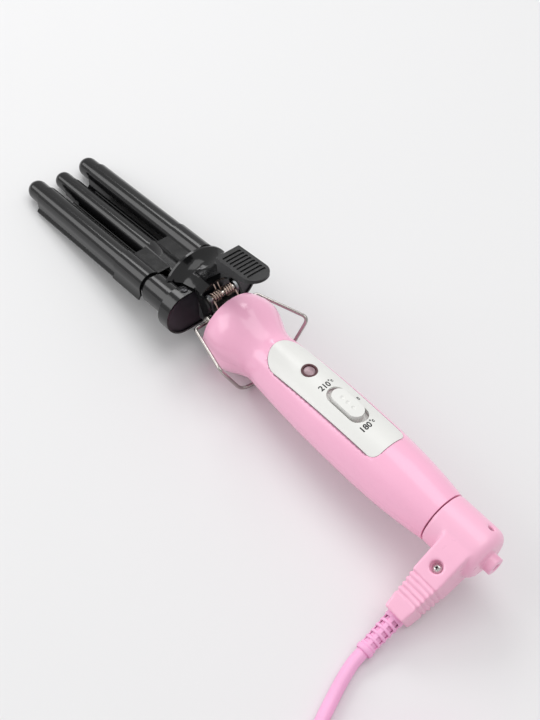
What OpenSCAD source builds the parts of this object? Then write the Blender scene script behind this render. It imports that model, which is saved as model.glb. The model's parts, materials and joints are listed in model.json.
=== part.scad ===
// Hair waver: a triple-barrel iron with a spring lever, a wire stand and a cord that turns at the handle's end.
// Three frames are used. iron(): X runs along the handle's axis to the cord end, Z is up, the panel is on top.
// jaws(): the same origin, tilted so that X is the barrels' axis. resting(): the table, Z = 0.
// The iron lies on its two lower barrel tips, the stand's foot and the end of the cord housing.

/* [Barrels] */
// Distance between the axes of the two lower barrels
barrel_pitch = 33.4; // [32:0.2:41]
// Radius of a lower barrel and of its round tip
barrel_r = 5.6; // [4.6:0.1:6.8]
// Distance from the pivot side of the barrel head to the centre of a tip
barrel_l = 131; // [100:1:160]
// Radius of the middle barrel
mid_r = 4.85; // [4:0.05:5.6]
// How far the middle barrel's axis lies below the others
mid_drop = 1.2; // [0:0.1:2]
// Wall of the barrel tubes
tube_wall = 0.7; // [0.5:0.1:1.2]
// Gap between the middle barrel's cover and the trough under it
trough_gap = 1.6; // [1.2:0.1:2]

/* [Upper jaw] */
// Gap between a lower barrel and the press shell over it
shell_gap = 0.35; // [0.3:0.05:0.8]
// Thickness of the press shells and covers
sheet = 0.5; // [0.4:0.05:0.8]
// How far the shells' straight skirts reach below the barrels' axes
skirt = 4.4; // [3.5:0.1:4.6]
// Length of bare tip in front of the shells
tip_bare = 9; // [4:0.5:20]
// Outside radius of the dome's front flange
dome_r = 21.5; // [20.5:0.5:26]
// Thickness of the yoke's legs and dome
yoke_t = 1.2; // [0.9:0.1:1.6]
// Length of the thumb press
press_l = 26.5; // [20:0.5:34]
// Width of the thumb press
press_w = 14; // [12:0.5:17]
// Cross grooves on the thumb press
press_grooves = 8; // [4:1:9]

/* [Handle] */
// Radius at the collar's widest ring
collar_r = 20.2; // [18:0.1:23]
// Radius of the collar's front rim
rim_r = 18; // [17:0.1:21]
// Radius of the waist behind the collar
waist_r = 14; // [13:0.1:15]
// Radius of the grip
grip_r = 16.5; // [15:0.1:19]
// Radius where the handle meets the cord housing
end_r = 12.8; // [12:0.1:15]
// Distance of the handle's rear end from the origin
handle_l = 160; // [150:1:185]
// Wall of the handle's two halves
wall = 2.4; // [2:0.1:2.8]
// Angle between the barrels and the handle
droop = 5.8; // [3:0.1:8]

/* [Panel] */
// Width of the inlaid panel at its round front end
panel_w = 22; // [18:0.5:24]
// Length of the panel
panel_l = 76; // [70:1:84]
// Depth of the panel's recess
panel_t = 1.2; // [0.8:0.1:1.4]
// Radius of the lamp's window
lamp_r = 3.9; // [2.5:0.1:5]
// Width of the switch knob
knob_w = 8.2; // [6:0.1:9]
// Slide of the switch to either side of 0
knob_travel = 2.5; // [1.5:0.1:3]

/* [Stand and pivot] */
// Radius of the stand's wire
wire_r = 0.9; // [0.7:0.05:1.2]
// Half the distance between the stand's outer corners
stand_half = 27.6; // [25:0.2:34]
// Half the length of the stand's foot
foot_half = 12; // [9:0.5:17]
// Radius of the hollow pivot rivets
rivet_r = 1.6; // [1.5:0.05:1.9]

/* [Cord end] */
// Angle by which the side arm hangs below level
arm_drop = 25.5; // [10:0.5:35]
// Length of the side arm from the handle's axis
arm_l = 44; // [38:0.5:52]
// Half the arm's height at its end
arm_end_h = 8.2; // [7:0.1:10]
// Half the arm's width at its end
arm_end_w = 5.2; // [5.2:0.1:7]
// Radius of the hanging eye's bore
eye_r = 1.9; // [1.5:0.1:2.5]
// Radius of the mains cord
cord_r = 2.9; // [2.6:0.1:3.2]

/* [Hidden] */
$fn = 64;
fit = 0.05;       // gap between fixed pieces that touch
run = 0.1;        // running fit of a turning or sliding piece
eps = 0.01;
big = 400;

// Places along the handle, from the origin under the dome
rim_x = 18;
collar_x = 28;
waist_x = 47;
grip_x = 105;
panel_x = 50;
lamp_x = panel_x + 23;
knob_x = panel_x + 48.3;
post_xs = [56.5, 138];
neck_x = handle_l - 6.5;

// Lower jaw
half_pitch = barrel_pitch / 2;
head_r = barrel_r + 5.9;
head_x0 = -4;
head_x1 = 3.2;
head_sheet = 1;
plate_x = 1.2;
tip_x = plate_x - barrel_l;
ferrule_r = barrel_r + 2.3;
ferrule_x = -22;
cover_r = mid_r + fit + 0.4;
lip = 1.2;
trough_in = cover_r + trough_gap;
trough_t = 0.5;
trough_top = mid_drop - 0.2;
trough_x = tip_x + 20;

// Pivot and bracket, in the jaws' frame
pivot = [14, 0, -1];
flange_y = 7.4;
flange_t = 1.2;
leg_y = 9.3;
bracket_z = 3;
pin_at = [11, 0, 9];
pin_r = 1.5;
coil_r = 2.5;
spring_r = 0.5;
coil_turns = 5;
coil_pitch = 1.05;
cheek_r = 2.6;
screw_x = 15.5;

// Upper jaw
shell_in = barrel_r + shell_gap;
shell_r = shell_in + sheet;
shell_x0 = tip_x + tip_bare;
shell_x1 = -25.5;
sleeve_in = shell_r + fit;
sleeve_r = sleeve_in + sheet;
sleeve_x = -48;
channel_in = cover_r + fit;
channel_r = channel_in + sheet;
dome_z = 1.2;
dome_x = -8;
dome_cut = head_r + 1.3;
dome_gate = head_x1 + 0.4;
dome_rear = 8;
press_x = 16.5;
press_z = 38.6;
press_rise = 0.8;
groove_pitch = 2.5;

// Stand: pivot end, outer corner and foot, in the iron's frame
lift = 4.1;
jaw_shift = -0.4;
stand_arm = [43.2, stand_half, 7.1];
elbow_y = 19.5;
foot_x = 42;
bend_r = wire_r + 0.06;

// Cord housing
seam_x = handle_l + 0.4;
cap_x1 = seam_x + 26.5;
cap_round = 5;
arm_x = seam_x + 15.4;
arm_root_w = 7.4;
arm_root_h = min(12.2, end_r - 0.4);
rib_first = 25;
rib_pitch = 2.5;
rib_count = 5;
housing_wall = 2.2;
neck_r = 8;
boss_r = 4.4;
boss_l = 4.5;
relief_r0 = 4.5;
relief_r1 = 3.6;
relief_l = 23.2;

// Points turned about Y as OpenSCAD turns them, and the three frames
function turned(p, a) = [p[0] * cos(a) + p[2] * sin(a), p[1], -p[0] * sin(a) + p[2] * cos(a)];
function from_jaws(p) = turned(p, -droop) + [jaw_shift, 0, lift];
function from_arm(s, t) = [arm_x, -s * cos(arm_drop) - t * sin(arm_drop), t * cos(arm_drop) - s * sin(arm_drop)];

// The resting tilt puts the lowest tip and the arm's lower end edge on the table
low_r = mid_r + mid_drop > barrel_r ? mid_r : barrel_r;
tip_at = from_jaws([tip_x, 0, mid_r + mid_drop > barrel_r ? -mid_drop : 0]);
heel_at = from_arm(arm_l, -arm_end_h) - [arm_end_w, 0, 0];
rest_dx = heel_at[0] - tip_at[0];
rest_dz = tip_at[2] - heel_at[2];
rest_tilt = asin(low_r / norm([rest_dx, rest_dz])) - atan2(rest_dz, rest_dx);
rest_z = low_r - turned(tip_at, rest_tilt)[2];
// The origin lies under the middle of the iron's own box
box_x0 = turned(from_jaws([tip_x, 0, 0]), rest_tilt)[0] - barrel_r;
box_x1 = turned([cap_x1 + boss_l, 0, -boss_r], rest_tilt)[0];
box_y0 = from_arm(arm_l, 0)[1] - arm_end_h * sin(arm_drop);
box_y1 = stand_half + bend_r;
place = [-(box_x0 + box_x1) / 2, -(box_y0 + box_y1) / 2, rest_z];
function on_table(p) = turned(p, rest_tilt) + place;
// Height of the table below a point of the iron's frame at x
function table_w(x) = (-place[2] + x * sin(rest_tilt)) / cos(rest_tilt);

module resting() { translate(place) rotate([0, rest_tilt, 0]) children(); }
module iron() { resting() children(); }
module jaws() { resting() translate([jaw_shift, 0, lift]) rotate([0, -droop, 0]) children(); }
module arm() { iron() translate([arm_x, 0, 0]) rotate([arm_drop, 0, 0]) rotate([0, 0, -90]) children(); }

// A profile of [radius, x] points turned about the X axis
module spun(points) { rotate([0, 90, 0]) rotate_extrude($fn = 96) polygon(points); }
// A [y, z] profile pushed from x0 to x1
module along_x(x0, x1) { translate([x0, 0, 0]) rotate([90, 0, 90]) linear_extrude(x1 - x0) children(); }
// An [x, z] profile pushed from y0 to y1
module along_y(y0, y1) { translate([0, y1, 0]) rotate([90, 0, 0]) linear_extrude(y1 - y0) children(); }
module rod_x(x0, x1, r) { translate([x0, 0, 0]) rotate([0, 90, 0]) cylinder(h = x1 - x0, r = r); }
module rod_y(y0, y1, r) { translate([0, y0, 0]) rotate([-90, 0, 0]) cylinder(h = y1 - y0, r = r); }
// A round rod from point a to point b, tapering from ra to rb
module rod(a, b, ra, rb) {
    d = b - a;
    translate(a) rotate([0, acos(d[2] / norm(d)), atan2(d[1], d[0])]) cylinder(h = norm(d), r1 = ra, r2 = rb);
}
module slot2d(length, width) {
    square([length - width, width], center = true);
    for (s = [-1, 1]) translate([s * (length - width) / 2, 0]) circle(width / 2);
}
module both_sides() { for (s = [0, 1]) mirror([0, s, 0]) children(); }

// ---- handle -------------------------------------------------------------------------------------
function ease(t) = 3 * t * t - 2 * t * t * t;
function handle_r(x) =
    x < collar_x ? collar_r - (collar_r - rim_r) * pow((collar_x - x) / (collar_x - rim_x), 2)
    : x < waist_x ? collar_r - (collar_r - waist_r) * ease((x - collar_x) / (waist_x - collar_x))
    : x < grip_x ? grip_r - (grip_r - waist_r) * pow((grip_x - x) / (grip_x - waist_x), 2)
    : grip_r - (grip_r - end_r) * pow((x - grip_x) / (handle_l - grip_x), 2.6);
function stations(x0, x1, step) = let (n = round((x1 - x0) / step)) [for (i = [0:n]) x0 + (x1 - x0) * i / n];
// Solid of the handle's outline, inset by d, between two places
module handle_form(d, x0, x1) {
    xs = stations(max(x0, rim_x), min(x1, handle_l), 3);
    pts = [for (x = xs) [handle_r(x) - d, x]];
    first = [[0, x0], [pts[0][0], x0]];
    last = [[pts[len(pts) - 1][0], x1], [0, x1]];
    spun(concat(first, x0 < rim_x ? pts : [for (i = [1:len(pts) - 1]) pts[i]], x1 > handle_l ? last : [last[1]]));
}
module panel_plan(grow) {
    front = panel_w / 2;
    rear = front - 0.7;
    corner = 4;
    translate([panel_x + front, 0]) circle(front + grow);
    polygon([[panel_x + front, -front - grow], [panel_x + panel_l - corner, -rear - grow],
        [panel_x + panel_l - corner, rear + grow], [panel_x + front, front + grow]]);
    for (s = [-1, 1]) translate([panel_x + panel_l - corner, s * (rear - corner)]) circle(corner + grow);
    translate([panel_x + panel_l - corner, -rear + corner]) square([corner + grow, 2 * (rear - corner)]);
}
module knob_slot(grow) {
    translate([knob_x, 0]) slot2d(knob_w + 10 + 2 * (knob_travel + run + grow), knob_w + 2 * (0.9 + grow));
}
module handle_hollow() {
    difference() {
        handle_form(0, rim_x, handle_l);
        handle_form(wall, rim_x - 1, neck_x);
        rod_x(neck_x - 1, handle_l + 1, neck_r + run);
    }
}
// Inner posts and ribs, kept inside the wall's outer skin
module inside_handle() {
    intersection() {
        handle_form(wall / 2, rim_x, neck_x);
        children();
    }
}
module upper_half() { translate([0, -big / 2, fit / 2]) cube([big, big, big]); }
module lower_half() { translate([0, -big / 2, -big - fit / 2]) cube([big, big, big]); }
tongue_x0 = 21;
tongue_x1 = 52;
tongue_t = 1.5;
rib_xs = [31, 45];
board_z = 2;
board_t = 1.6;
disc_x = 146;

module handle_top() {
    color([0.98, 0.71, 0.83]) iron() {
        difference() {
            intersection() {
                union() {
                    handle_hollow();
                    inside_handle() {
                        for (x = post_xs) translate([x, 0, 0]) cylinder(h = 30, r = 3.2);
                        for (x = rib_xs) translate([x - 1, -9, tongue_t / 2 + fit]) cube([2, 18, 30]);
                    }
                }
                upper_half();
            }
            for (x = post_xs) translate([x, 0, -1]) cylinder(h = 9, r = 1.1);
            intersection() {
                difference() {
                    handle_form(-2, panel_x - 5, panel_x + panel_l + 5);
                    handle_form(panel_t, panel_x - 6, panel_x + panel_l + 6);
                }
                linear_extrude(40) panel_plan(fit);
            }
            linear_extrude(40) knob_slot(1);
            translate([lamp_x, 0, 0]) cylinder(h = 40, r = lamp_r + 0.5);
        }
    }
}
module handle_bottom() {
    color([0.97, 0.69, 0.81]) iron() {
        difference() {
            intersection() {
                union() {
                    handle_hollow();
                    inside_handle() {
                        for (x = post_xs) translate([x, 0, -30]) cylinder(h = 30, r = 3.6);
                        for (x = rib_xs) translate([x - 1, -9, -30 - tongue_t / 2 - fit]) cube([2, 18, 30]);
                        for (x = [lamp_x - 6, knob_x + 15])
                            translate([x, -3, -30 + board_z - fit]) cube([2, 6, 30]);
                    }
                }
                lower_half();
            }
            for (x = post_xs) {
                translate([x, 0, -30]) cylinder(h = 40, r = 1.5);
                translate([x, 0, -30]) cylinder(h = 22, r = 2.9);
            }
        }
        // the ribs under the circuit board stand proud of the parting plane
        for (x = [lamp_x - 6, knob_x + 15]) translate([x, -3, -fit]) cube([2, 6, board_z]);
    }
}
module handle_screws() {
    color("silver") iron() for (x = post_xs) translate([x, 0, 0]) {
        translate([0, 0, -8 - 1.8]) cylinder(h = 1.8 - fit, r = 2.6);
        translate([0, 0, -8 - 1]) cylinder(h = 8.9, r = 1.35);
        translate([0, 0, -0.5]) cylinder(h = 7.5, r = 1.05);
    }
}
module control_panel() {
    color([0.95, 0.95, 0.93]) iron() {
        difference() {
            intersection() {
                difference() {
                    handle_form(-0.15, panel_x - 5, panel_x + panel_l + 5);
                    handle_form(panel_t - fit, panel_x - 6, panel_x + panel_l + 6);
                }
                linear_extrude(40) panel_plan(-fit);
            }
            linear_extrude(40) knob_slot(0);
            translate([lamp_x, 0, 0]) cylinder(h = 40, r = lamp_r + fit);
        }
    }
}
lamp_top = handle_r(lamp_x) + 0.1;
module lamp_bezel() {
    color([0.35, 0.12, 0.15]) iron() translate([lamp_x, 0, lamp_top - 3.2]) difference() {
        cylinder(h = 3.3, r = lamp_r);
        translate([0, 0, -1]) cylinder(h = 6, r = lamp_r - 0.9);
    }
}
module lamp_lens() {
    color([0.75, 0.55, 0.58]) iron() translate([lamp_x, 0, lamp_top - 3.2]) cylinder(h = 2.9, r = lamp_r - 0.9 - fit);
}
module lamp_body() {
    color([0.9, 0.75, 0.6]) iron() translate([lamp_x, 0, board_z + board_t + fit])
        cylinder(h = lamp_top - 3.2 - board_z - board_t - 2 * fit, r = 2.2);
}
knob_top = handle_r(knob_x) + 1.3;
switch_top = handle_r(knob_x) - wall - 1.1;
module switch_body() {
    color([0.15, 0.15, 0.16]) iron() translate([knob_x - 10, -5, board_z + board_t + fit]) difference() {
        cube([20, 10, switch_top - board_z - board_t]);
        translate([3.5, 3, switch_top - board_z - board_t - 3]) cube([13, 4, 4]);
    }
}
module circuit_board() {
    color([0.2, 0.45, 0.25]) iron() translate([lamp_x - 9, -9, board_z]) cube([knob_x - lamp_x + 28, 18, board_t]);
}
// Bakelite disc with two brass rings that feeds the turning cord end
module contact_disc() {
    color([0.45, 0.3, 0.2]) iron() {
        rod_x(disc_x - 2, disc_x, handle_r(disc_x) - wall - 0.2);
        for (r = [4, 7]) translate([disc_x, 0, 0]) rotate([0, 90, 0]) difference() {
            cylinder(h = 0.6, r = r + 0.7);
            translate([0, 0, -1]) cylinder(h = 3, r = r - 0.7);
        }
    }
}
module supply_leads() {
    color([0.8, 0.2, 0.2]) iron() for (y = [-5, 5])
        translate([0, y, 0.9]) rod_x(knob_x + 6, disc_x - 2 - fit, 0.9);
}

// ---- lower jaw ----------------------------------------------------------------------------------
module stadium(r) {
    square([barrel_pitch, 2 * r], center = true);
    for (s = [-1, 1]) translate([s * half_pitch, 0]) circle(r);
}
module bracket_side() {
    difference() {
        union() {
            translate([head_x1 + 0.2, -7]) square([22, 7 + bracket_z + flange_t]);
            translate([pin_at[0] - cheek_r, bracket_z]) square([2 * cheek_r, pin_at[2] - bracket_z]);
            translate([pin_at[0], pin_at[2]]) circle(cheek_r);
        }
        translate([pivot[0], pivot[2]]) circle(rivet_r + fit);
        translate([pin_at[0], pin_at[2]]) circle(pin_r + fit);
    }
}
module base_bracket() {
    color([0.55, 0.56, 0.58]) {
        jaws() {
            both_sides() along_y(flange_y, flange_y + flange_t) bracket_side();
            difference() {
                translate([head_x1 + 0.2, -flange_y - eps, bracket_z])
                    cube([22, 2 * (flange_y + eps), flange_t]);
                translate([screw_x, 0, 0]) cylinder(h = 10, r = 1.6);
            }
        }
        iron() translate([tongue_x0, -flange_y - eps, -tongue_t / 2])
            cube([tongue_x1 - tongue_x0, 2 * (flange_y + eps), tongue_t]);
    }
}
module bracket_screw() {
    color("silver") jaws() translate([screw_x, 0, 0]) {
        translate([0, 0, bracket_z + flange_t + fit]) cylinder(h = 1.9, r = 2.9);
        translate([0, 0, bracket_z - 4.6]) cylinder(h = 6.5, r = 1.45);
        translate([0, 0, bracket_z - 4.1]) cylinder(h = 2.6, r = 2.7, $fn = 6);
    }
}
module head_band() {
    color([0.1, 0.1, 0.11]) jaws() difference() {
        union() {
            along_x(head_x0, head_x1) difference() {
                stadium(head_r);
                stadium(head_r - head_sheet);
            }
            along_x(head_x0, head_x0 + head_sheet) stadium(head_r - head_sheet / 2);
        }
        both_sides() {
            translate([0, half_pitch, 0]) rod_x(head_x0 - 1, 0, barrel_r + fit);
            translate([-0.6, half_pitch - 2.7, 0]) cylinder(h = 20, r = 1.05);
        }
    }
}
module head_plate() {
    color([0.16, 0.13, 0.16]) jaws() {
        along_x(plate_x, plate_x + 1.2) stadium(head_r - head_sheet - fit);
        difference() {
            translate([plate_x + 1, -flange_y + fit, bracket_z - 1.4]) cube([18, 2 * (flange_y - fit), 1.3]);
            translate([screw_x, 0, -5]) cylinder(h = 20, r = 1.6);
        }
        both_sides() difference() {
            translate([-1.9, half_pitch - 4.4, head_r - 4.4]) cube([plate_x + 2, 3.4, 3.2]);
            translate([-0.6, half_pitch - 2.7, 0]) cylinder(h = 20, r = 1.05);
        }
    }
}
module head_screws() {
    color("silver") jaws() both_sides() translate([-0.6, half_pitch - 2.7, 0]) {
        translate([0, 0, head_r + fit]) cylinder(h = 1, r = 1.9);
        translate([0, 0, head_r - 4]) cylinder(h = 4.5, r = 1);
    }
}
module ferrules() {
    color([0.12, 0.12, 0.13]) jaws() both_sides() translate([0, half_pitch, 0]) difference() {
        rod_x(ferrule_x, head_x0 - fit, ferrule_r);
        rod_x(ferrule_x - 1, head_x0 + 1, barrel_r + fit);
    }
}
// A tube with a round closed tip; x1 is its open end
module tube(r, x1) {
    difference() {
        union() {
            rod_x(tip_x, x1, r);
            translate([tip_x, 0, 0]) sphere(r);
        }
        rod_x(tip_x, x1 + 1, r - tube_wall);
        translate([tip_x, 0, 0]) sphere(r - tube_wall);
    }
}
module left_barrel() { color([0.08, 0.08, 0.09]) jaws() translate([0, -half_pitch, 0]) tube(barrel_r, plate_x - fit); }
module right_barrel() { color([0.08, 0.08, 0.09]) jaws() translate([0, half_pitch, 0]) tube(barrel_r, plate_x - fit); }
module barrel_heaters() {
    color([0.8, 0.8, 0.82]) jaws() both_sides() translate([0, half_pitch, 0])
        rod_x(tip_x + 12, ferrule_x, barrel_r - tube_wall - run);
}
module lower_trough() {
    color([0.1, 0.1, 0.11]) jaws() along_x(trough_x, head_x0 - fit) translate([0, -mid_drop]) difference() {
        circle(trough_in + trough_t);
        circle(trough_in);
        translate([-20, 0.2]) square([40, 20]);
    }
}
module pivot_rivets() {
    color("silver") jaws() translate([pivot[0], 0, pivot[2]]) both_sides() difference() {
        union() {
            rod_y(flange_y - 0.9, leg_y + yoke_t + 0.4, rivet_r);
            rod_y(flange_y - 1, flange_y - fit, rivet_r + 1);
            rod_y(leg_y + yoke_t + run, leg_y + yoke_t + 1.6, rivet_r + 1.5);
            rod_y(flange_y + flange_t + fit, leg_y - run, rivet_r + 1);
        }
        rod_y(flange_y - 3, leg_y + 6, wire_r + run);
    }
}
module spring_pin() { color("silver") jaws() translate(pin_at) rod_y(-leg_y + 0.25, leg_y - 0.25, pin_r); }
// Close-wound coil as one sleeve, with one arm under the dome and the other on the bracket
module lever_springs() {
    span = coil_pitch * coil_turns / 2;
    color([0.72, 0.5, 0.38]) jaws() both_sides() translate([pin_at[0], 3.9, pin_at[2]]) {
        difference() {
            rod_y(-span, span, coil_r + spring_r);
            rod_y(-span - 1, span + 1, coil_r - spring_r);
        }
        rod([-coil_r, -span + 0.7, 0], [-6.3, -span + 0.7, 5.5], spring_r - 0.02, spring_r - 0.02);
        rod([coil_r, span - 0.7, 0], [coil_r + 3.5, span - 0.7, -4.2], spring_r - 0.02, spring_r - 0.02);
    }
}

// ---- upper jaw ----------------------------------------------------------------------------------
// An inverted U in the [y, z] plane: a half ring with straight skirts
module arch(r_out, r_in, reach) {
    difference() {
        union() {
            circle(r_out);
            translate([-r_out, -reach]) square([2 * r_out, reach]);
        }
        circle(r_in);
        translate([-r_in, -reach - 1]) square([2 * r_in, reach + 1]);
        translate([-r_out - 1, -reach - 20]) square([2 * r_out + 2, 20]);
    }
}
// The rolled-out lower edge of a skirt
module lips(r_out, reach) {
    for (s = [0, 1]) mirror([s, 0])
        polygon([[r_out - 0.3, -reach - eps], [r_out - 0.3, -reach + 0.6], [r_out, -reach + 0.6],
            [r_out + lip, -reach - 0.8], [r_out + lip, -reach - 1.4], [r_out + 0.4, -reach - 1.4]]);
}
// Bell of the dome as [radius, x] points behind its flat front plate
bell = [[dome_r - 2.9, dome_x + 1.4], [dome_r - 4.5, dome_x + 4], [dome_r - 5.1, 0], [dome_r - 5.9, 4],
    [dome_r - 7.3, dome_rear]];
module dome() {
    n = len(bell) - 1;
    front = dome_x - 2;
    plate = front + yoke_t;
    translate([0, 0, dome_z]) intersection() {
        spun(concat([[0, front], [dome_r, front], [dome_r, plate]], bell,
            [for (i = [0:n]) bell[n - i] - [yoke_t, 0]], [[0, plate]]));
        union() {
            along_x(front - 1, dome_gate) polygon([[-7.5, -dome_z], [7.5, -dome_z], [7.5, dome_cut - dome_z],
                [30, dome_cut - dome_z], [30, 30], [-30, 30], [-30, dome_cut - dome_z], [-7.5, dome_cut - dome_z]]);
            translate([dome_gate - eps, -leg_y - yoke_t, 5])
                cube([dome_rear - dome_gate + 1, 2 * (leg_y + yoke_t), 30]);
        }
    }
}
module leg_plan() {
    translate([pivot[0], pivot[2]]) circle(4.8);
    polygon([[dome_gate, 12], [8, 11.4], [12.1, 8.8], [18.2, 0], [9.4, -2]]);
}
module thumb_tongue() {
    polygon([[-2, 16.3], [-2, 17.5], [5, 18.2], [17.6, 31], [37, 36.6], [37, 35.3], [18, 29.7], [5.5, 16.9]]);
}
rivet_xs = [24, 31];
function press_under(x) = 31 + (x - 17.6) * (36.6 - 31) / (37 - 17.6);
module yoke() {
    color([0.07, 0.07, 0.08]) jaws() difference() {
        union() {
            dome();
            both_sides() along_y(leg_y, leg_y + yoke_t) difference() {
                leg_plan();
                translate([pivot[0], pivot[2]]) circle(rivet_r + run);
            }
            along_x(sleeve_x, dome_x - 1.4) translate([0, -mid_drop]) arch(channel_r, channel_in, 3);
            both_sides() {
                along_x(sleeve_x, shell_x1) translate([half_pitch, 0]) {
                    arch(sleeve_r, sleeve_in, skirt);
                    lips(sleeve_r, skirt);
                }
                translate([sleeve_x + 1, 3.4, bracket_z])
                    cube([shell_x1 - sleeve_x - 2, half_pitch - sleeve_r + 0.98 - 3.4, 0.6]);
            }
            along_y(-5.5, 5.5) thumb_tongue();
        }
        for (x = rivet_xs) translate([x, 0, 20]) cylinder(h = 30, r = 1.25);
    }
}
module press_shell() {
    along_x(shell_x0, shell_x1) arch(shell_r, shell_in, skirt);
    along_x(shell_x0, sleeve_x - 0.3) lips(shell_r, skirt);
}
module left_shell() { color([0.07, 0.07, 0.08]) jaws() translate([0, -half_pitch, 0]) press_shell(); }
module right_shell() { color([0.07, 0.07, 0.08]) jaws() translate([0, half_pitch, 0]) press_shell(); }
module middle_barrel() { color([0.08, 0.08, 0.09]) jaws() translate([0, 0, -mid_drop]) tube(mid_r, dome_x - 2 - run); }
module middle_cover() {
    color([0.07, 0.07, 0.08]) jaws() along_x(shell_x0, dome_x - 4)
        translate([0, -mid_drop]) arch(cover_r, mid_r + fit, 2.5);
}
module middle_heater() {
    color([0.8, 0.8, 0.82]) jaws() translate([0, 0, -mid_drop])
        rod_x(tip_x + 12, ferrule_x, mid_r - tube_wall - run);
}
module press_plan() {
    translate([press_x, -press_w / 2]) square([press_l - press_w / 2, press_w]);
    translate([press_x + press_l - press_w / 2, 0]) circle(press_w / 2);
}
module thumb_press() {
    x1 = press_x + press_l;
    color([0.16, 0.16, 0.17]) jaws() difference() {
        intersection() {
            along_y(-press_w, press_w) polygon([[press_x, press_z], [17.7, press_under(17.7) + fit],
                [38, press_under(38) + fit], [x1, press_z - 0.8], [x1, press_z + press_rise]]);
            linear_extrude(60) press_plan();
        }
        for (i = [0:press_grooves - 1])
            translate([press_x + 3.4 + i * groove_pitch, 0, press_z - 0.6 + press_rise * (i + 1) / (press_grooves + 2)])
                linear_extrude(5) rotate([0, 0, 90]) slot2d(press_w - 3.4, 1.4);
        for (x = rivet_xs) translate([x, 0, 30]) cylinder(h = press_under(x) - 30 + 1.5, r = 1.2);
    }
}
module press_rivets() {
    color("silver") jaws() for (x = rivet_xs) translate([x, 0, press_under(x)]) {
        translate([0, 0, -3]) cylinder(h = 4.2, r = 1.15);
        translate([0, 0, -3]) cylinder(h = 0.9, r = 2.1);
    }
}

// ---- wire stand ---------------------------------------------------------------------------------
stand_pivot = from_jaws(pivot);
module wire_stand() {
    foot_z = table_w(foot_x) + wire_r / cos(rest_tilt);
    elbow = [stand_pivot[0], elbow_y, stand_pivot[2]];
    route = [[stand_pivot[0], leg_y, stand_pivot[2]], elbow, stand_arm, [foot_x, foot_half, foot_z]];
    color([0.75, 0.74, 0.72]) iron() {
        both_sides() {
            for (i = [0:2]) rod(route[i], route[i + 1], wire_r, wire_r);
            for (i = [1:3]) translate(route[i]) sphere(bend_r);
        }
        translate([foot_x, 0, foot_z]) rod_y(-foot_half, foot_half, wire_r);
    }
}

// ---- switch knob --------------------------------------------------------------------------------
module switch_knob() {
    color([0.94, 0.94, 0.93]) iron() translate([knob_x, 0, 0]) difference() {
        union() {
            translate([0, 0, switch_top + 0.5]) linear_extrude(knob_top - switch_top - 0.5)
                slot2d(knob_w + 10, knob_w);
            translate([-3.5, -1.6, switch_top - 2]) cube([7, 3.2, 3]);
        }
        for (i = [-1:1]) translate([i * 3.6, 0, knob_top + 0.9]) sphere(1.4);
    }
}

// ---- cord housing -------------------------------------------------------------------------------
cap_arc = [for (a = [0:15:90]) [end_r - cap_round * (1 - cos(a)), cap_x1 - cap_round * (1 - sin(a))]];
module cap_form() { spun(concat([[0, seam_x], [end_r, seam_x]], cap_arc, [[0, cap_x1]])); }
module arm_form(inset) {
    root_h = arm_root_h - inset;
    end_h = arm_end_h - inset;
    end_w = arm_end_w - inset;
    root_w = arm_root_w - inset;
    intersection() {
        along_y(-20, 20) polygon([[0, -root_h], [10, -root_h], [arm_l, -end_h], [arm_l, end_h], [10, root_h], [0, root_h]]);
        translate([0, 0, -20]) linear_extrude(40)
            polygon([[0, -root_w], [22, -root_w + 0.3], [arm_l, -end_w], [arm_l, end_w], [22, root_w - 0.3], [0, root_w]]);
    }
}
module housing_form() {
    difference() {
        union() {
            arm() arm_form(0);
            iron() {
                cap_form();
                translate([cap_x1 - 1, 0, 0]) rod_x(0, boss_l + 1, boss_r);
            }
        }
        iron() {
            rod_x(seam_x - 1, seam_x + 7.5, neck_r + fit);
            rod_x(seam_x + 7, cap_x1 - housing_wall, end_r - housing_wall - 1);
            rod_x(cap_x1 - housing_wall - 1, cap_x1 + boss_l + 1, eye_r);
        }
        arm() {
            rod_x(0, arm_l + 1, cord_r + 0.4);
            for (i = [0:rib_count - 1]) difference() {
                translate([rib_first + i * rib_pitch, -20, -20]) cube([1.1, 40, 40]);
                arm_form(0.8);
            }
        }
    }
}
screw_s = 17.7;
screw_y = 5.6;
module housing_top() {
    color([0.99, 0.73, 0.84]) difference() {
        intersection() {
            housing_form();
            arm() translate([-big / 2, -big / 2, fit]) cube([big, big, big]);
        }
        arm() translate([screw_s, 0, 0]) {
            translate([0, 0, screw_y + 2]) cylinder(h = 20, r = 2.9);
            translate([0, 0, -1]) cylinder(h = 20, r = 1.3);
        }
        iron() translate([cap_x1 - 6.6, 0, 0]) rotate([-29, 0, 0]) cylinder(h = 30, r = 1.5);
    }
}
module housing_bottom() {
    color([0.99, 0.73, 0.84]) difference() {
        intersection() {
            housing_form();
            arm() translate([-big / 2, -big / 2, -big - fit]) cube([big, big, big]);
        }
        arm() translate([screw_s, 0, -6]) cylinder(h = 20, r = 1);
    }
}
module housing_screw() {
    color("silver") arm() translate([screw_s, 0, 0]) {
        translate([0, 0, screw_y + 2 + fit]) cylinder(h = 1.8, r = 2.5);
        translate([0, 0, cord_r + 0.8]) cylinder(h = screw_y + 3 - cord_r - 0.8, r = 1.2);
    }
}
// Hollow shaft the housing turns on, held behind the handle's end wall
module swivel_neck() {
    color([0.85, 0.85, 0.87]) iron() difference() {
        union() {
            rod_x(neck_x - 3.6, seam_x + 7, neck_r);
            rod_x(neck_x - 3.6, neck_x - run, neck_r + 2.4);
        }
        rod_x(neck_x - 5, seam_x + 8, neck_r - 2.5);
    }
}
module inner_cord() { color([0.95, 0.6, 0.83]) arm() rod_x(8, arm_l - 0.2, cord_r); }

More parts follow.
